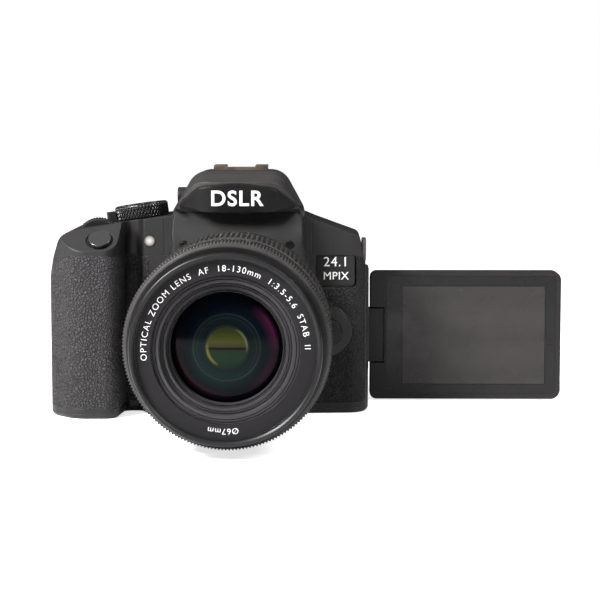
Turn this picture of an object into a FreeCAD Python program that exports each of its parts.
import FreeCAD, Part
import math
import os

# Single-lens reflex camera with a zoom lens and a swing-out screen, in millimetres.
# Frame: origin at the mouth of the tripod socket, +Z up, the lens looks along -Y,
# and +X is the side that the screen swings out to. The grip is on the -X side.

V = FreeCAD.Vector
os.makedirs("parts", exist_ok=True)

# ---------------------------------------------------------------- driving dimensions
GRIP_X = -77.6            # outer face of the hand grip
SIDE_X = 53.9             # outer face of the hinge side
BACK_Y = 24.0             # rear face of the body
FRONT_Y = -21.5           # front face of the body beside the mount
GRIP_Y = -38.0            # front of the hand grip
GRIP_TOP_Z = 78.9         # top deck over the grip
DECK_Z = 82.5             # top deck beside the prism hump
HUMP_TOP_Z = 100.4        # top of the prism hump
SPLIT_Y = 6.0             # parting plane of the front and rear covers
TOP_SPLIT_Z = 66.0        # parting plane of the top cover
BASE_T = 2.2              # base plate thickness
WALL = 2.2                # shell wall
SKIN = 1.0                # rubber covering thickness
GAP = 0.3                 # free gap between moving faces

LENS_Z = 40.0             # lens axis height
FLANGE_Y = -36.0          # lens mount seating face
BOSS_Y = -33.0            # front face of the boss behind the mount ring
BOSS_R = 35.5
MOUNT_R = 32.5            # outer radius of the mount ring
THROAT_R = 27.2           # lens mount opening
SENSOR_Y = 8.0            # front of the image sensor, 44 mm behind the seating face

LENS_FRONT_Y = -132.0     # front rim of the lens with the zoom at its short end
BARREL_BORE_R = 33.5
TUBE_R = 33.2             # sliding tube of the front barrel
RIM_R = 35.0
FILTER_R = 33.5           # 67 mm filter thread
NAME_RING_R = 27.05       # inner edge of the name ring
NAME_SEAT_R = 32.6        # outer edge of the name ring, behind the thread
FRONT_GLASS_R = 20.5
RING_BED_R = 35.9         # barrel surface under the two turning rings
ZOOM_RING = (-94.0, -64.0, 38.5)      # front, rear, radius
FOCUS_RING = (-120.0, -104.0, 38.5)

HINGE_X = 50.5            # vertical axis that the screen swings about
HINGE_Y = 21.5
HINGE_R = 4.2             # knuckle radius
PIN_R = 1.25
SCREEN_Z = 28.4           # height of the screen's tilting axis
SCREEN_HALF_H = 27.9
SCREEN_X = (55.2, 138.0)  # inner and outer edge of the opened screen
SCREEN_HALF_T = 3.8
BRACKET_HALF = 12.0       # half height of the hinge bracket
NOTCH_X = 61.5            # how far the bracket's notch runs into the screen
RECESS_Y = 17.3           # floor of the rear recess that takes the folded screen
RECESS_X = -37.5
RECESS_Z = 57.0

FLASH_AXIS_Y = -4.0       # rear hinge of the pop-up flash
FLASH_AXIS_Z = 96.0
FLASH_BARREL_R = 4.4
FLASH_GAP = 0.95          # room behind the barrel for the lid's rear edge as it turns
HUMP_FRONT_Y = -36.0
BROW_Z = 84.4             # underside of the brow over the lens

DIAL_X = -41.0            # mode dial centre on the sloping deck
DIAL_Y = -2.0
DIAL_R = 11.2
DECK_TILT = math.degrees(math.atan2(DECK_Z - GRIP_TOP_Z, 26.0))
WHEEL = (-58.2, -13.0, 71.4)          # centre of the finger wheel
WHEEL_R = 9.8
WHEEL_HALF_T = 3.0

SHUTTER = (-56.0, -32.5, 73.0)        # centre of the release button on the sloping face
SHUTTER_SLOPE = 39.0                  # degrees that this face leans forward

BATTERY_X = (-73.5, -53.0)            # battery well
BATTERY_Y = (-29.0, 0.2)
DOOR_AXIS = (1.7, 1.15)               # y and z of the battery door's hinge

TRIPOD_R = 3.175          # 1/4-20 thread, nominal radius


# ---------------------------------------------------------------- shape helpers
def box(x, y, z):
    """Box from three (low, high) pairs."""
    return Part.makeBox(x[1] - x[0], y[1] - y[0], z[1] - z[0], V(x[0], y[0], z[0]))


def rod(radius, start, end):
    """Cylinder between two points."""
    start = V(*start)
    along = V(*end) - start
    return Part.makeCylinder(radius, along.Length, start, along)


def face(points, plane, at):
    """Flat face from corners (u, v) or (u, v, corner radius)."""
    place = {"XY": lambda u, v: V(u, v, at),
             "XZ": lambda u, v: V(u, at, v),
             "YZ": lambda u, v: V(at, u, v)}[plane]
    bends = []
    count = len(points)
    for i, corner in enumerate(points):
        tip = V(corner[0], corner[1], 0)
        radius = corner[2] if len(corner) > 2 else 0
        if not radius:
            bends.append((tip, None, tip))
            continue
        before = (V(*points[i - 1][:2], 0) - tip).normalize()
        after = (V(*points[(i + 1) % count][:2], 0) - tip).normalize()
        half = before.getAngle(after) / 2
        reach = radius / math.tan(half)
        middle = tip + (before + after).normalize() * (radius / math.sin(half) - radius)
        bends.append((tip + before * reach, middle, tip + after * reach))
    edges = []
    for i, (start, middle, end) in enumerate(bends):
        if middle is not None:
            arc = Part.Arc(place(start.x, start.y), place(middle.x, middle.y), place(end.x, end.y))
            edges.append(arc.toShape())
        following = bends[(i + 1) % count][0]
        if (following - end).Length > 1e-6:
            edges.append(Part.makeLine(place(end.x, end.y), place(following.x, following.y)))
    return Part.Face(Part.Wire(edges))


def slab(points, plane, span, inset=0.0):
    """Prism over an outline, with the outline moved inwards by inset."""
    flat = face(points, plane, span[0])
    if inset:
        flat = flat.makeOffset2D(-inset)
    along = {"XY": V(0, 0, 1), "XZ": V(0, 1, 0), "YZ": V(1, 0, 0)}[plane]
    return flat.extrude(along * (span[1] - span[0]))


def turned(profile):
    """Solid of revolution about the lens axis from (radius, y) corners."""
    corners = [V(radius, y, LENS_Z) for radius, y in profile]
    flat = Part.Face(Part.makePolygon(corners + corners[:1]))
    return flat.revolve(V(0, 0, LENS_Z), V(0, 1, 0), 360)


def ring(outer, inner, span):
    """Plain ring about the lens axis."""
    return turned([(inner, span[0]), (outer, span[0]), (outer, span[1]), (inner, span[1])])


def edges_in(shape, low, high):
    """Edges whose centre lies in a box."""
    found = []
    for edge in shape.Edges:
        centre = edge.CenterOfMass
        if all(low[i] <= centre[i] <= high[i] for i in range(3)):
            found.append(edge)
    return found


def softened(shape, radius, low=None, high=None):
    """Fillet of the edges in a box, or of all edges."""
    edges = shape.Edges if low is None else edges_in(shape, low, high)
    return shape.makeFillet(radius, edges)


def largest(shape):
    """The biggest solid of a shape, without the slivers that cutting leaves."""
    return max(shape.Solids, key=lambda solid: solid.Volume)


def save(name, shape):
    """Write one node as a STEP file."""
    if not shape.isValid():
        print("NOT VALID", name)
    shape.exportStep("parts/" + name + ".step")


# ---------------------------------------------------------------- outer form of the body
PLAN = [(SIDE_X, 22.5, 5), (SIDE_X, -19.5, 9), (28, FRONT_Y, 4), (-39.5, FRONT_Y, 1.5),
        (-41, -15.5, 2.5), (-46.8, -15.5, 2.5), (-49.0, -37.4, 6), (-67, GRIP_Y, 12),
        (GRIP_X, -26, 12), (GRIP_X, BACK_Y, 9)]
FRONT = [(GRIP_X, 0), (GRIP_X, 57), (-75.6, 66, 10), (-72.5, 75.2, 7), (-66, 77.0, 12),
         (-53, GRIP_TOP_Z, 6),
         (-27, DECK_Z, 5), (27, DECK_Z, 5), (31.5, 80.6, 6), (50.2, 73.8, 3.5),
         (SIDE_X, 56, 12), (SIDE_X, 0)]
HUMP_PLAN = [(-30, -23, 6), (-15, HUMP_FRONT_Y + 0.6, 25), (15, HUMP_FRONT_Y + 0.6, 25), (30, -23, 6),
             (30, 60), (-30, 60)]


def shutter_face(inset):
    """Cutter above the sloping face that carries the release button."""
    rise = math.tan(math.radians(SHUTTER_SLOPE))
    drop = inset / math.cos(math.radians(SHUTTER_SLOPE))
    low_y = -60
    high_y = -10
    return slab([(low_y, SHUTTER[2] - drop - rise * (SHUTTER[1] - low_y)),
                 (high_y, SHUTTER[2] - drop + rise * (high_y - SHUTTER[1])),
                 (high_y, 130), (low_y, 130)], "YZ", (-90, -41.2))


def body_block(inset):
    """Body without its hump: the plan and front outlines combined."""
    block = slab(PLAN, "XY", (inset, 95), inset).common(slab(FRONT, "XZ", (-60, 60), inset))
    return block.cut(shutter_face(inset))


def hump(inset):
    """Prism hump, lofted from the front of the flash to the eyepiece."""
    sections = []
    for y, foot, shoulder, top in [(HUMP_FRONT_Y + inset, 25.6, 16.5, 96.4),
                                   (-22, 27, 18.0, 99.4),
                                   (-6, 27.3, 18.4, HUMP_TOP_Z),
                                   (16, 26.8, 18.0, HUMP_TOP_Z),
                                   (30 - inset, 20, 14.5, 95.5)]:
        foot -= inset
        shoulder -= inset
        top -= inset
        outline = [(-foot, 68), (-foot, 84.3, 5), (-shoulder, top, 9),
                   (shoulder, top, 9), (foot, 84.3, 5), (foot, 68)]
        sections.append(face(outline, "XZ", y).OuterWire)
    loft = Part.makeLoft(sections, True, True)
    return loft.common(slab(HUMP_PLAN, "XY", (60, 110), inset))


def brow_hollow(inset):
    """Cutter for the hollow face between the brow and the lens."""
    return slab([(-60, BROW_Z + inset), (-28.8 + inset, BROW_Z + inset), (-30.4 + inset, 78.5, 24),
                 (BOSS_Y + inset, 70.0, 30), (BOSS_Y + inset, 60), (-60, 60)], "YZ", (-34, 34))


def mount_boss(inset):
    """Round boss behind the lens with its flared top."""
    low = 56
    flare = slab([(25.4 - inset, 86), (29.6 - inset, low), (inset - 29.6, low), (inset - 25.4, 86)],
                 "XZ", (BOSS_Y + inset, -10))
    flare = softened(flare, 3.5, (-31, BOSS_Y + inset - 0.1, 60), (31, BOSS_Y + inset + 0.1, 80))
    return flare.fuse(rod(BOSS_R - inset, (0, BOSS_Y + inset, LENS_Z), (0, -10, LENS_Z)))


def release_boss(inset):
    """Low round boss beside the mount for the lens release button."""
    return rod(9.8 - inset, (36.6, -27.5 + inset, 34.8), (36.6, -15, 34.8))


def outer_body():
    block = body_block(0)
    block = softened(block, 3.0, (-80, 22, 1), (60, 25, 90))
    block = softened(block, 2.1, (-80, -40, -1), (60, 30, 0.1))
    whole = block.fuse([hump(0), mount_boss(0), release_boss(0)]).removeSplitter()
    return whole.cut(brow_hollow(0))


def recess():
    """Room for the folded screen at the back, open at the hinge side and below."""
    room = box((RECESS_X, 70), (RECESS_Y, 40), (-1, RECESS_Z))
    knuckle = rod(HINGE_R + GAP, (HINGE_X, HINGE_Y, SCREEN_Z - BRACKET_HALF - GAP),
                  (HINGE_X, HINGE_Y, SCREEN_Z + BRACKET_HALF + GAP))
    return room.fuse(knuckle)


def hinge_posts():
    """Two ears of the rear cover that carry the swing pin."""
    posts = []
    for low, high in ((0.6, SCREEN_Z - BRACKET_HALF - GAP),
                      (SCREEN_Z + BRACKET_HALF + GAP, RECESS_Z + 1)):
        ear = rod(HINGE_R, (HINGE_X, HINGE_Y, low), (HINGE_X, HINGE_Y, high))
        foot = box((HINGE_X - HINGE_R, SIDE_X), (15.5, HINGE_Y), (low, high))
        posts.append(ear.fuse(foot))
    return posts


OUTER = outer_body()
ROOM = recess()
inner_limit = box((RECESS_X - 1.8, 70), (RECESS_Y - 1.6, 60), (-5, RECESS_Z + 1.8))
INNER = body_block(WALL).fuse(hump(WALL)).fuse(mount_boss(WALL)).fuse(release_boss(WALL))
INNER = INNER.cut(inner_limit).cut(brow_hollow(WALL))
SHELL = OUTER.cut(ROOM).cut(INNER)

# ---------------------------------------------------------------- buttons
# Each button: centre on the surface, outward direction, radius, height above the surface.
TILT = math.radians(DECK_TILT)
SLOPE = math.radians(SHUTTER_SLOPE)
REAR = (0, 1, 0)
BUTTONS = {
    "shutter_button": (SHUTTER, (0, -math.sin(SLOPE), math.cos(SLOPE)), 4.7, 1.2),
    "iso_button": ((-62.0, -1.0, 77.6), (-math.sin(TILT), 0, math.cos(TILT)), 2.6, 0.8),
    "live_view_button": ((-31.0, BACK_Y - 0.4, 73.0), REAR, 2.8, 0.9),
    "exposure_lock_button": ((-57.0, BACK_Y - 0.2, 70.0), REAR, 2.6, 0.9),
    "focus_point_button": ((-66.5, BACK_Y - 0.1, 69.0), REAR, 2.6, 0.9),
    "menu_button": ((43.0, BACK_Y - 1.4, 66.5), REAR, 2.4, 0.9),
    "info_button": ((34.5, BACK_Y - 1.3, 66.5), REAR, 2.4, 0.9),
    "quick_menu_button": ((-48.5, BACK_Y - 0.3, 44.5), REAR, 2.5, 0.9),
    "playback_button": ((-48.5, BACK_Y - 0.3, 9.5), REAR, 2.5, 0.9),
    "erase_button": ((-66.5, BACK_Y - 0.1, 9.5), REAR, 2.5, 0.9),
}
KEY_CENTRE = (-57.5, BACK_Y - 0.2, 27.0)
KEY_R = 10.5
SET_R = 3.6
BUTTON_FIT = 0.15
BUTTON_EDGE = 0.35
FLANGE_T = 0.8
RELEASE = (37.0, -27.5, 34.8)
RELEASE_R = 5.6


def button(centre, out, radius, height, lip=0.9):
    """Round cap with a retaining flange inside the wall."""
    depth = WALL + 0.6
    centre = V(*centre)
    out = V(*out)
    cap = Part.makeCylinder(radius, height + depth, centre - out * depth, out)
    top = max(cap.Faces, key=lambda side: side.CenterOfMass.dot(out))
    cap = cap.makeFillet(BUTTON_EDGE, top.Edges)
    flange = Part.makeCylinder(radius + lip, FLANGE_T, centre - out * (depth + FLANGE_T), out)
    return cap.fuse(flange)


def button_hole(centre, out, radius):
    """Bore for a button through the wall."""
    centre = V(*centre)
    out = V(*out)
    return Part.makeCylinder(radius + BUTTON_FIT, 2 * WALL + 4, centre - out * (WALL + 2), out)


holes = [button_hole(centre, out, radius) for centre, out, radius, height in BUTTONS.values()]
holes.append(button_hole(KEY_CENTRE, REAR, KEY_R))
release_bore = rod(RELEASE_R + BUTTON_FIT, (RELEASE[0], -40, RELEASE[2]), (RELEASE[0], -20, RELEASE[2]))
shutter_out = V(*BUTTONS["shutter_button"][1])
shutter_cup = Part.makeCylinder(5.6, 3, V(*SHUTTER) - shutter_out * 0.6, shutter_out)


# ---------------------------------------------------------------- cutters shared by the covers
def on_deck(shape):
    """Move a shape drawn about +Z at the origin onto the sloping deck under the mode dial."""
    deck = GRIP_TOP_Z + (DIAL_X + 53) * math.tan(TILT)
    shape.rotate(V(0, 0, 0), V(0, 1, 0), -DECK_TILT)
    shape.translate(V(DIAL_X, DIAL_Y, deck))
    return shape


LEVER_R = 12.2
DIAL_SHAFT_R = 3.0
dial_pocket = on_deck(rod(LEVER_R + GAP, (0, 0, -1.7), (0, 0, 12)))
dial_boss = on_deck(rod(LEVER_R + 2, (0, 0, -4.5), (0, 0, -1)))
dial_bore = on_deck(rod(DIAL_SHAFT_R + 0.05, (0, 0, -8), (0, 0, 2)))
wheel_slot = box((WHEEL[0] - WHEEL_R - 0.5, WHEEL[0] + WHEEL_R + 0.5),
                 (WHEEL[1] - WHEEL_HALF_T - GAP, WHEEL[1] + WHEEL_HALF_T + GAP), (60, 95))
lamp_hole = rod(2.35, (-36.6, -30, 72), (-36.6, -15, 72))
throat = rod(30.0, (0, -40, LENS_Z), (0, -20, LENS_Z))
throat.rotate(V(0, 0, LENS_Z), V(0, 1, 0), 100)
eyepiece_hole = box((-10, 10), (20, 45), (79.5, 92.5))
diopter_hole = rod(4.4, (-34, 17.5, 88.5), (-20.5, 17.5, 88.5))

# The arch is the fixed part of the hump under the flash head.
ARCH = [(-40, 86.7), (-24.8, 86.8), (-15.3, 94.7, 6), (1.3, 96.2, 30), (15.9, 93.9, 6),
        (25.1, 86.6), (40, 86.7), (40, 60), (-40, 60)]
flash_front = box((-40, 40), (-45, FLASH_AXIS_Y), (80, 110))
hinge_barrel = rod(FLASH_BARREL_R, (-30, FLASH_AXIS_Y, FLASH_AXIS_Z), (30, FLASH_AXIS_Y, FLASH_AXIS_Z))
hinge_room = rod(FLASH_BARREL_R + FLASH_GAP, (-30, FLASH_AXIS_Y, FLASH_AXIS_Z),
                 (30, FLASH_AXIS_Y, FLASH_AXIS_Z))
above_arch = flash_front.cut(slab(ARCH, "XZ", (-50, 10)))
lid_room = above_arch.fuse(hinge_room)
LAMP = ((-12, 12), (-30.4, -20), (87.8, 96))
lamp_well = box((LAMP[0][0] - 0.6, LAMP[0][1] + 0.6), (-32.8, -12), (86.8, 99))

SHOE_X = 11.3
SHOE_Y = (2.2, 21.0)
SHOE_FLOOR_Z = 98.0
SHOE_TOP_Z = 102.3
shoe_pocket = box((-SHOE_X, SHOE_X), (SHOE_Y[0], 45), (SHOE_FLOOR_Z, 110))

SCREW_SPOTS = [(-21.5, BOSS_Y, 71.1), (21.5, BOSS_Y, 71.1)]
BASE_SCREWS = [(-44, -8), (-30, 12), (40, -14), (42, 10), (20, -16)]
screw_bores = [rod(1.7, (x, y - 1, z), (x, y + 1.0, z)) for x, y, z in SCREW_SPOTS]
screw_bores += [rod(0.85, (x, y, z), (x, y + 6, z)) for x, y, z in SCREW_SPOTS]

grip_zone = slab([(GRIP_X - 2, 4.4), (GRIP_X - 2, 56), (-75.2, 59.5, 4), (-73, 65.4, 4), (-67, 66.9, 8),
                  (-56, 66.8, 20), (-46, 66.2, 20), (-37, 65.4), (-37, 4.4)], "XZ", (-60, SPLIT_Y))
side_zone = slab([(31, 4.4), (52.4, 4.4, 2), (52.4, 65.4, 3), (40, 66.2), (40, 52), (31, 52)],
                 "XZ", (-60, -13.6))
thumb_zone = slab([(GRIP_X - 2, 38), (-64, 38, 4), (-61, 62, 4), (GRIP_X - 2, 62)], "XZ", (16, 40))
skin_core = body_block(SKIN)
boss_guard = mount_boss(0).fuse(release_boss(-0.6))


def skin(zone):
    """Rubber covering: the outer millimetre of the body in a zone."""
    return OUTER.common(zone).cut(skin_core)


BADGE = [(32.5, 53.5, 1.5), (48.0, 53.5, 1.5), (48.0, 66.0, 1.5), (32.5, 66.0, 1.5)]
BADGE_Y = -19.6
badge_room = slab(BADGE, "XZ", (-30, BADGE_Y), -0.8)
door_recess = box((51.5, 60), (-13.1, SPLIT_Y), (17.4, 60.6))
ring_seat = rod(MOUNT_R + 0.1, (0, -45, LENS_Z), (0, BOSS_Y, LENS_Z))
release_room = rod(7.2, (RELEASE[0], -25.2, RELEASE[2]), (RELEASE[0], -12, RELEASE[2]))
brow_outline = slab([(-25.4, 85.5, 0.8), (-19.5, 86.5, 6), (-13.5, 84.6, 6), (0, BROW_Z, 40),
                     (13.5, 84.6, 6), (19.5, 86.5, 6), (25.4, 85.5, 0.8),
                     (15.9, 93.6, 6), (1.3, 95.9, 30), (-15.3, 94.4, 6)], "XZ", (-45, -26))
BROW_PLAN = [(-26, -27, 2), (-16, HUMP_FRONT_Y - 1.0, 22), (16, HUMP_FRONT_Y - 1.0, 22), (26, -27, 2),
             (26, -20), (-26, -20)]
brow_ends = [slab([(side * 34, BROW_Z - 1), (side * 34, 85.5), (side * 25.4, 85.5), (side * 19.5, 86.5, 6),
                   (side * 13.5, 84.6, 6), (side * 8, BROW_Z), (side * 8, BROW_Z - 1)],
                  "XZ", (-60, -29)) for side in (-1, 1)]
BROW = brow_outline.common(slab(BROW_PLAN, "XY", (80, 100)))
BROW = BROW.cut(slab(HUMP_PLAN, "XY", (60, 110), 1.0))


def strap_lugs():
    """Metal strap loops in both shoulders."""
    made = []
    for x, lean in ((GRIP_X + 1.6, -1), (SIDE_X - 1.6, 1)):
        plate = box((x - 1.0, x + 1.0), (1.0, 10.5), (62.0, 71.5))
        plate = softened(plate, 0.6)
        slot = box((x - 3, x + 3), (3.2, 8.3), (64.2, 69.3))
        bridge = box((x - 0.9 * lean - 1.6, x - 0.9 * lean + 1.6), (2, 9.5), (60.5, 63.2))
        made.append(plate.cut(slot).fuse(bridge))
    return Part.makeCompound(made)


LUGS = strap_lugs()


GRIP_SKIN = skin(grip_zone)
SIDE_SKIN = skin(side_zone).cut(boss_guard)


def covering():
    save("grip_rubber", GRIP_SKIN.cut(LUGS))
    save("side_rubber", SIDE_SKIN.cut(slab(BADGE, "XZ", (-30, -10), -0.8)))
    save("thumb_rubber", skin(thumb_zone))


ALL_X = (-100, 100)       # spans wider than the body, for parting cuts
ALL_Y = (-60, 60)
PIN_FIT = 0.06
below_base = box(ALL_X, ALL_Y, (-5, BASE_T))
above_split = box(ALL_X, ALL_Y, (TOP_SPLIT_Z, 120))
ahead_of_split = box(ALL_X, (ALL_Y[0], SPLIT_Y), (-5, 120))
brow_face = box((-30.5, 30.5), (ALL_Y[0], -12), (TOP_SPLIT_Z, BROW_Z))


def pierced_shell():
    """Whole shell with its hinge ears and the bores of the controls."""
    shell = SHELL.fuse([dial_boss.common(OUTER)] + hinge_posts())
    shell = shell.cut(dial_pocket).cut(dial_bore).cut(wheel_slot).cut(shutter_cup)
    for bore in holes + [release_bore] + screw_bores:
        shell = shell.cut(bore)
    return shell


def front_cover(middle):
    """Front half of the middle band, with its mount opening and rubber seats."""
    front = middle.common(ahead_of_split).cut(throat).cut(lamp_hole)
    front = front.cut(GRIP_SKIN).cut(SIDE_SKIN)
    front = front.cut(badge_room).cut(door_recess).cut(ring_seat)
    bulkhead = ring(34, 30.6, (-33, -24)).common(box(ALL_X, (-33, -24), (BASE_T, 80)))
    front = front.fuse(bulkhead.common(OUTER)).cut(release_room).cut(release_bore)
    save("front_cover", largest(front.cut(LUGS)))


def rear_cover(middle):
    """Rear half of the middle band, with the bore of the hinge pin."""
    pin_bore = rod(PIN_R + PIN_FIT, (HINGE_X, HINGE_Y, 3.6), (HINGE_X, HINGE_Y, 53.4))
    rear = middle.cut(ahead_of_split).cut(skin(thumb_zone)).cut(pin_bore)
    save("rear_cover", rear.cut(LUGS))


def top_cover(top):
    """Top deck and hump, with the well under the flash head and the floor of the shoe."""
    well = slab(ARCH, "XZ", (HUMP_FRONT_Y, FLASH_AXIS_Y), 1.2).common(hump(1.0)).cut(brow_hollow(0))
    top = top.fuse(well.common(box(ALL_X, (-50, FLASH_AXIS_Y), (BROW_Z, 110))))
    shoe_floor = box((-SHOE_X - 2, SHOE_X + 2), (SHOE_Y[0] - 2, 24), (SHOE_FLOOR_Z - 2, SHOE_FLOOR_Z + 3))
    top = top.fuse(shoe_floor.common(OUTER))
    top = top.cut(lid_room).cut(lamp_well).cut(shoe_pocket).cut(eyepiece_hole).cut(diopter_hole)
    top = top.cut(lamp_hole).cut(ring_seat).cut(BROW).cut(LUGS)
    top = top.cut(GRIP_SKIN).cut(SIDE_SKIN)
    save("top_cover", largest(top.cut(brow_ends)))


def base_plate():
    """Floor with the battery opening, the door's hinge and latch seats, and the screw holes."""
    floor = OUTER.common(below_base).cut(ROOM)
    floor = floor.cut(box(BATTERY_X, BATTERY_Y, (-1, 5)))
    floor = floor.cut(box(BATTERY_X, (0, 3.2), (-1, 5)))
    floor = floor.cut(box((-66.2, -60), (-31.2, -28.8), (0.35, 2.05)))
    axle_y, axle_z = DOOR_AXIS
    floor = floor.cut(rod(0.66, (BATTERY_X[0] - 2, axle_y, axle_z), (BATTERY_X[1] + 2, axle_y, axle_z)))
    floor = floor.cut(rod(5.02, (0, 0, -1), (0, 0, 5)))
    for x, y in BASE_SCREWS:
        floor = floor.cut(rod(1.7, (x, y, -1), (x, y, 0.9))).cut(rod(0.85, (x, y, 0), (x, y, 5)))
    save("base_plate", floor)


def housings():
    """Front, rear and top covers and the base plate, parted from one shell."""
    shell = pierced_shell()
    middle = shell.cut(below_base).cut(above_split.cut(brow_face))
    front_cover(middle)
    rear_cover(middle)
    top_cover(shell.common(above_split).cut(brow_face))
    base_plate()


# ---------------------------------------------------------------- trim on the body
def plates():
    """Badge plate in its shallow recess, and the plate across the brow of the hump."""
    save("badge_plate", slab(BADGE, "XZ", (BADGE_Y - 0.4, BADGE_Y)))
    save("name_plate", largest(BROW))


def hot_shoe():
    """Accessory shoe: floor, two side walls and two inward rails."""
    outline = [(-SHOE_X, SHOE_FLOOR_Z), (SHOE_X, SHOE_FLOOR_Z), (SHOE_X, SHOE_TOP_Z),
               (6.25, SHOE_TOP_Z), (6.25, 100.8), (9.35, 100.8), (9.35, 98.8), (-9.35, 98.8),
               (-9.35, 100.8), (-6.25, 100.8), (-6.25, SHOE_TOP_Z), (-SHOE_X, SHOE_TOP_Z)]
    shoe = slab(outline, "XZ", SHOE_Y)
    stop = box((-SHOE_X, SHOE_X), (SHOE_Y[0], SHOE_Y[0] + 1.2), (SHOE_FLOOR_Z, SHOE_TOP_Z - 0.5))
    save("hot_shoe", shoe.fuse(stop))


def lamp_window():
    save("lamp_window", rod(2.3, (-36.6, FRONT_Y - 0.3, 72), (-36.6, FRONT_Y + 2, 72)))


def mount_ring():
    """Bayonet ring with three gaps that let the lens lugs in."""
    body = ring(MOUNT_R, THROAT_R, (FLANGE_Y, BOSS_Y))
    for turn in (60, 180, 300):
        gap = ring(29.3, THROAT_R - 1, (FLANGE_Y - 1, BOSS_Y + 1))
        wedge = slab([(0, 0), (60, -34.6), (60, 34.6)], "XZ", (FLANGE_Y - 2, BOSS_Y + 2))
        wedge.translate(V(0, 0, LENS_Z))
        wedge.rotate(V(0, 0, LENS_Z), V(0, 1, 0), turn)
        body = body.cut(gap.common(wedge))
    save("mount_ring", body)


def screws():
    """Cross-head screws of the front cover and the base."""
    made = []
    for x, y, z in SCREW_SPOTS:
        head = rod(1.65, (x, y + 0.15, z), (x, y + 1.0, z))
        head = head.cut(box((x - 1.0, x + 1.0), (y, y + 0.6), (z - 0.22, z + 0.22)))
        head = head.cut(box((x - 0.22, x + 0.22), (y, y + 0.6), (z - 1.0, z + 1.0)))
        made.append(head.fuse(rod(0.8, (x, y + 0.9, z), (x, y + 5, z))))
    for x, y in BASE_SCREWS:
        head = rod(1.65, (x, y, 0.1), (x, y, 0.9))
        head = head.cut(box((x - 1.0, x + 1.0), (y - 0.22, y + 0.22), (0, 0.5)))
        head = head.cut(box((x - 0.22, x + 0.22), (y - 1.0, y + 1.0), (0, 0.5)))
        made.append(head.fuse(rod(0.8, (x, y, 0.8), (x, y, 5))))
    save("cover_screws", Part.makeCompound(made))


def tripod_socket():
    body = rod(5.0, (0, 0, 0.02), (0, 0, 7.5)).fuse(rod(7.0, (0, 0, BASE_T), (0, 0, 3.6)))
    save("tripod_socket", body.cut(rod(TRIPOD_R, (0, 0, -1), (0, 0, 6.6))))


def viewfinder():
    """Eyecup and eyepiece lens behind the hump."""
    outer = slab([(-17, 76.5, 5), (17, 76.5, 5), (17, 96.2, 6), (-17, 96.2, 6)], "XZ", (30.05, 39.0))
    window = slab([(-10, 80.5, 2.5), (10, 80.5, 2.5), (10, 92, 2.5), (-10, 92, 2.5)], "XZ", (20, 50))
    cup = softened(outer, 2.0, (-20, 38.9, 70), (20, 39.1, 99)).cut(window)
    save("eyecup", cup)
    glass = box((-9.9, 9.9), (24.5, 27.5), (79.6, 92.4))
    save("eyepiece_lens", glass)


def diopter_knob():
    knob = rod(4.1, (-27.6, 17.5, 88.5), (-22.2, 17.5, 88.5))
    save("diopter_knob", softened(knob, 0.5, (-27.7, 0, 70), (-27.5, 40, 99)))


# ---------------------------------------------------------------- inside the body
def mirror_box():
    """Tapered frame between the mount and the shutter, open above for the focusing screen."""
    outer = box((-20, 20), (-24, 2), (24, 57))
    inner = box((-17.5, 17.5), (-40, 0.5), (26, 60))
    gate = box((-12.5, 12.5), (-5, 5), (31, 49))
    flange = box((-26, 26), (-24, -22), (18, 57)).cut(box((-17.5, 17.5), (-40, 0), (26, 60)))
    frame = outer.cut(inner).fuse(flange).cut(gate)
    hinge_seat = rod(0.85, (-19, -2.2, 54.0), (19, -2.2, 54.0))
    ledge = box((-17.5, 17.5), (-1.0, 0.6), (55.6, 57))
    save("mirror_box", frame.fuse(ledge).cut(hinge_seat))


MIRROR_AXIS = (-2.2, 54.0)            # y and z of the mirror's hinge
MIRROR_LENGTH = 25.5


def reflex_mirror():
    """Mirror on its hinge axle, drawn flat and turned down to 45 degrees."""
    y, z = MIRROR_AXIS
    plate = box((-15.5, 15.5), (y - MIRROR_LENGTH, y), (z - 0.7, z + 0.6))
    axle = rod(0.8, (-18.8, y, z), (18.8, y, z))
    mirror = plate.fuse(axle)
    mirror.rotate(V(0, y, z), V(1, 0, 0), 45)
    save("reflex_mirror", mirror)


def optics():
    save("focusing_screen", box((-14, 14), (-23, -3), (57.3, 58.3)))
    outline = [(-23, 58.8), (1.5, 58.8), (9.5, 68), (9.5, 78), (-6, 84.0), (-21, 74)]
    save("pentamirror", slab(outline, "YZ", (-14, 14)))
    shutter = box((-24, 24), (2.3, 6.5), (24, 56)).cut(box((-12, 12), (0, 9), (31.5, 48.5)))
    for i in range(4):
        shutter = shutter.fuse(box((-12, 12), (3.0 + 0.25 * i, 3.2 + 0.25 * i),
                                   (31.5 + 4.2 * i, 36.3 + 4.2 * i)))
    save("shutter_unit", shutter)
    save("image_sensor", box((-14.5, 14.5), (SENSOR_Y, SENSOR_Y + 1.6), (29, 51)))
    board = box((-32, 44), (10.2, 11.6), (8, 62))
    for x, z, w in ((-20, 45, 9), (8, 20, 12), (28, 42, 8), (-24, 18, 6), (30, 18, 5)):
        board = board.fuse(box((x - w / 2, x + w / 2), (11.6, 12.8), (z - w / 2, z + w / 2)))
    save("main_board", board)


def power():
    save("battery", softened(box((-72.6, -58.4), (-28, -0.5), (3.0, 40)), 1.0))
    save("memory_card", box((-57, -54.9), (-25.5, -1.5), (3.2, 35.2)))


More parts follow.
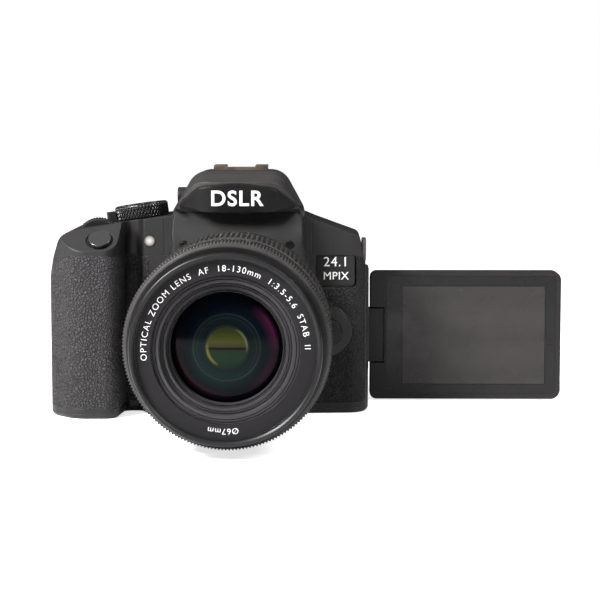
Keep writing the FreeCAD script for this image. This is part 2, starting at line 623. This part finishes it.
# ---------------------------------------------------------------- moving controls
def controls():
    for name, (centre, out, radius, height) in BUTTONS.items():
        lip = -0.8 if name == "shutter_button" else 0.9
        save(name, button(centre, out, radius, height, lip))
    save("lens_release", button(RELEASE, (0, -1, 0), RELEASE_R, 2.2))
    pad = button(KEY_CENTRE, REAR, KEY_R, 1.0)
    key_x, key_y, key_z = KEY_CENTRE
    set_bore = rod(SET_R + BUTTON_FIT, (key_x, 10, key_z), (key_x, 40, key_z))
    save("cross_keys", pad.cut(set_bore))
    stem = rod(SET_R, (key_x, key_y - 4.4, key_z), (key_x, key_y + 1.5, key_z))
    stem = softened(stem, 0.35, (-99, key_y + 1.4, 0), (99, key_y + 1.6, 99))
    foot = rod(SET_R + 1.2, (key_x, key_y - 5.4, key_z), (key_x, key_y - 4.4, key_z))
    save("set_button", stem.fuse(foot))


def dials():
    top = rod(DIAL_R, (0, 0, 0.3), (0, 0, 5.9))
    top = softened(top, 0.6, (-20, -20, 5.8), (20, 20, 6.0))
    save("mode_dial", on_deck(top.fuse(rod(DIAL_SHAFT_R, (0, 0, -5.5), (0, 0, 0.5)))))
    plate = rod(LEVER_R, (0, 0, -1.5), (0, 0, -0.1)).cut(rod(DIAL_SHAFT_R + 0.1, (0, 0, -5), (0, 0, 5)))
    tab = slab([(11.6, -2.4), (14.9, -2.0, 1.0), (14.9, 2.0, 1.0), (11.6, 2.4)], "XY", (0.25, 4.3))
    root = box((11.6, 12.15), (-2, 2), (-1.0, 0.4))
    handle = tab.fuse(root)
    handle.rotate(V(0, 0, 0), V(0, 0, 1), 195)
    save("power_lever", on_deck(plate.fuse(handle)))
    x, y, z = WHEEL
    wheel = rod(WHEEL_R, (x, y - WHEEL_HALF_T, z), (x, y + WHEEL_HALF_T, z))
    wheel = softened(wheel, 0.6)
    save("main_dial", wheel.fuse(rod(1.5, (x, y - 5.5, z), (x, y + 5.5, z))))


# ---------------------------------------------------------------- flash
def flash():
    """Pop-up head with its lamp window on the underside."""
    barrel = hump(0).common(hinge_barrel).common(box((-40, 40), (-60, 40), (FLASH_AXIS_Z, 120)))
    lid = hump(0).common(above_arch).cut(slab(ARCH, "XZ", (-50, 10), -0.15)).fuse(barrel)
    lamp = box(*LAMP).common(hump(0.5))
    lid = lid.fuse(lamp)
    window = box((-10.5, 10.5), (-29.2, -21.4), (LAMP[2][0], LAMP[2][0] + 1.6))
    save("flash_head", lid.cut(window).removeSplitter())
    save("flash_window", window)


# ---------------------------------------------------------------- battery door and terminal cover
def doors():
    axis_y, axis_z = DOOR_AXIS
    door = box((BATTERY_X[0] + 0.25, BATTERY_X[1] - 0.25), (BATTERY_Y[0] + 0.25, 1.7), (0.1, 2.1))
    door = door.fuse(rod(1.05, (BATTERY_X[0] + 0.25, axis_y, axis_z), (BATTERY_X[1] - 0.25, axis_y, axis_z)))
    door = door.fuse(rod(0.6, (BATTERY_X[0] - 1.6, axis_y, axis_z), (BATTERY_X[1] + 1.6, axis_y, axis_z)))
    door = door.cut(box((-66.3, -59.9), (-30, -20.5), (0.3, 5)))
    door = door.cut(box((-65.2, -61.0), (-30, -25.2), (-1, 0.5)))
    door = door.fuse(box((-72, -55), (-20.5, -20.0), (1.6, 2.1)))
    save("battery_door", door)
    latch = box((-66.1, -60.1), (-28.3, -23.7), (0.45, 1.95))
    latch = latch.fuse(box((-65, -61.2), (-26.4, -25.4), (0.05, 0.5)))
    save("door_latch", latch)
    flap = softened(box((52.4, 54.1), (-12.0, 5.7), (17.8, 60.2)), 0.5, (54.0, -20, 0), (54.2, 20, 90))
    save("terminal_cover", flap.fuse(rod(0.8, (53.3, -12.0, 17.8), (53.3, -12.0, 60.2))))


# ---------------------------------------------------------------- swing-out screen
def screen():
    swing = (HINGE_X, HINGE_Y)
    low = SCREEN_Z - BRACKET_HALF
    high = SCREEN_Z + BRACKET_HALF
    knuckle = rod(HINGE_R, (*swing, low), (*swing, high))
    arm = box((HINGE_X, NOTCH_X - 0.12), (HINGE_Y - 3.4, HINGE_Y + 3.4), (low, high))
    arm = arm.common(rod(BRACKET_HALF, (HINGE_X - 1, HINGE_Y, SCREEN_Z), (NOTCH_X, HINGE_Y, SCREEN_Z)))
    pin = rod(PIN_R, (*swing, 4), (*swing, 53))
    axle = rod(2.0, (NOTCH_X - 3, HINGE_Y, SCREEN_Z), (70, HINGE_Y, SCREEN_Z))
    save("screen_hinge", knuckle.fuse([arm, pin, axle]))

    outline = [(SCREEN_X[0], SCREEN_Z - SCREEN_HALF_H, 3), (SCREEN_X[1], SCREEN_Z - SCREEN_HALF_H, 4),
               (SCREEN_X[1], SCREEN_Z + SCREEN_HALF_H, 4), (SCREEN_X[0], SCREEN_Z + SCREEN_HALF_H, 3)]
    front = HINGE_Y - SCREEN_HALF_T
    back = HINGE_Y + SCREEN_HALF_T
    panel = slab(outline, "XZ", (front, back))
    panel = softened(panel, 1.2, (50, back - 0.1, 0), (140, back + 0.1, 60))
    panel = softened(panel, 0.5, (50, front - 0.1, 0), (140, front + 0.1, 60))
    notch = box((50, NOTCH_X), (0, 40), (low - 0.2, high + 0.2))
    panel = panel.cut(notch).cut(rod(2.06, (NOTCH_X - 2, HINGE_Y, SCREEN_Z), (70.3, HINGE_Y, SCREEN_Z)))
    glass = [(62.6, 2.6, 1.5), (135.8, 2.6, 1.5), (135.8, 54.2, 1.5), (62.6, 54.2, 1.5)]
    panel = panel.cut(slab(glass, "XZ", (front - 1, front + 1.0)))
    save("screen_housing", panel)
    save("screen_glass", slab(glass, "XZ", (front + 0.1, front + 0.98), 0.05))


# ---------------------------------------------------------------- lens
def lens():
    barrel = turned([(24.5, -29.0), (24.5, -46.0), (22.0, -46.0), (22.0, -56.5), (BARREL_BORE_R, -56.5),
                     (BARREL_BORE_R, -121.8), (36.6, -121.8), (36.6, FOCUS_RING[0] - 0.25),
                     (RING_BED_R, FOCUS_RING[0] - 0.25), (RING_BED_R, FOCUS_RING[1] + 0.25),
                     (37.9, FOCUS_RING[1] + 0.25), (37.9, ZOOM_RING[0] - 0.25),
                     (RING_BED_R, ZOOM_RING[0] - 0.25), (RING_BED_R, ZOOM_RING[1] + 0.25),
                     (37.6, ZOOM_RING[1] + 0.25), (37.6, -50.0), (36.0, -45.0), (33.4, -41.5),
                     (33.4, FLANGE_Y), (26.9, FLANGE_Y), (26.9, -29.0)])
    lugs = ring(29.0, 26.0, (BOSS_Y + 0.3, -30.6))
    for turn in (0, 120, 240):
        gap = slab([(0, 0), (60, -34.6), (60, 34.6)], "XZ", (-50, -20))
        gap.translate(V(0, 0, LENS_Z))
        gap.rotate(V(0, 0, LENS_Z), V(0, 1, 0), turn + 60)
        lugs = lugs.cut(gap)
    barrel = barrel.fuse(lugs)
    for z in (48.0, 34.0):
        barrel = barrel.cut(box((35.9, 42), (-60.6, -52.8), (z - 2.4, z + 2.4)))
    save("lens_barrel", barrel)
    for name, z in (("focus_mode_switch", 48.0), ("stabiliser_switch", 34.0)):
        knob = box((36.1, 38.4), (-60.3, -56.5), (z - 2.1, z + 2.1))
        save(name, softened(knob, 0.4, (38.3, -70, 0), (38.5, -40, 90)))
    save("rear_lens_group", ring(22.0, 0.0, (-53.0, -47.0)))
    for name, (front, rear, radius) in (("zoom_ring", ZOOM_RING), ("focus_ring", FOCUS_RING)):
        save(name, turned([(36.0, front), (radius - 0.6, front), (radius, front + 0.8),
                           (radius, rear - 0.8), (radius - 0.6, rear), (36.0, rear)]))


def front_barrel():
    """Telescoping front barrel with the filter thread and the stepped baffle."""
    steps = [(FILTER_R, LENS_FRONT_Y), (FILTER_R, -129.5), (NAME_SEAT_R, -129.5), (NAME_SEAT_R, -128.6),
             (NAME_RING_R, -128.6)]
    radius = NAME_RING_R
    y = -128.6
    while radius > 22.0:
        y += 1.0
        steps.append((radius, y))
        radius -= 0.85
        steps.append((radius, y))
    tail = [(FRONT_GLASS_R, y), (FRONT_GLASS_R, -116.5), (19.0, -116.5), (19.0, -113.0), (30.5, -106.0),
            (30.5, -61.0), (TUBE_R, -61.0), (TUBE_R, -122.2), (RIM_R, -122.2), (RIM_R, -131.5),
            (RIM_R - 0.5, LENS_FRONT_Y)]
    save("front_barrel", turned(steps + tail))
    save("name_ring", ring(NAME_SEAT_R, NAME_RING_R, (-129.5, -128.6)))
    crown_y = -121.8
    crown_r = 82.0
    ball = Part.makeSphere(crown_r, V(0, crown_y + crown_r, LENS_Z))
    save("front_element", rod(FRONT_GLASS_R - 0.02, (0, -124, LENS_Z), (0, -116.5, LENS_Z)).common(ball))


covering()
housings()
plates()
hot_shoe()
lamp_window()
mount_ring()
screws()
save("strap_lugs", LUGS)
tripod_socket()
viewfinder()
diopter_knob()
mirror_box()
reflex_mirror()
optics()
power()
controls()
dials()
flash()
doors()
screen()
lens()
front_barrel()
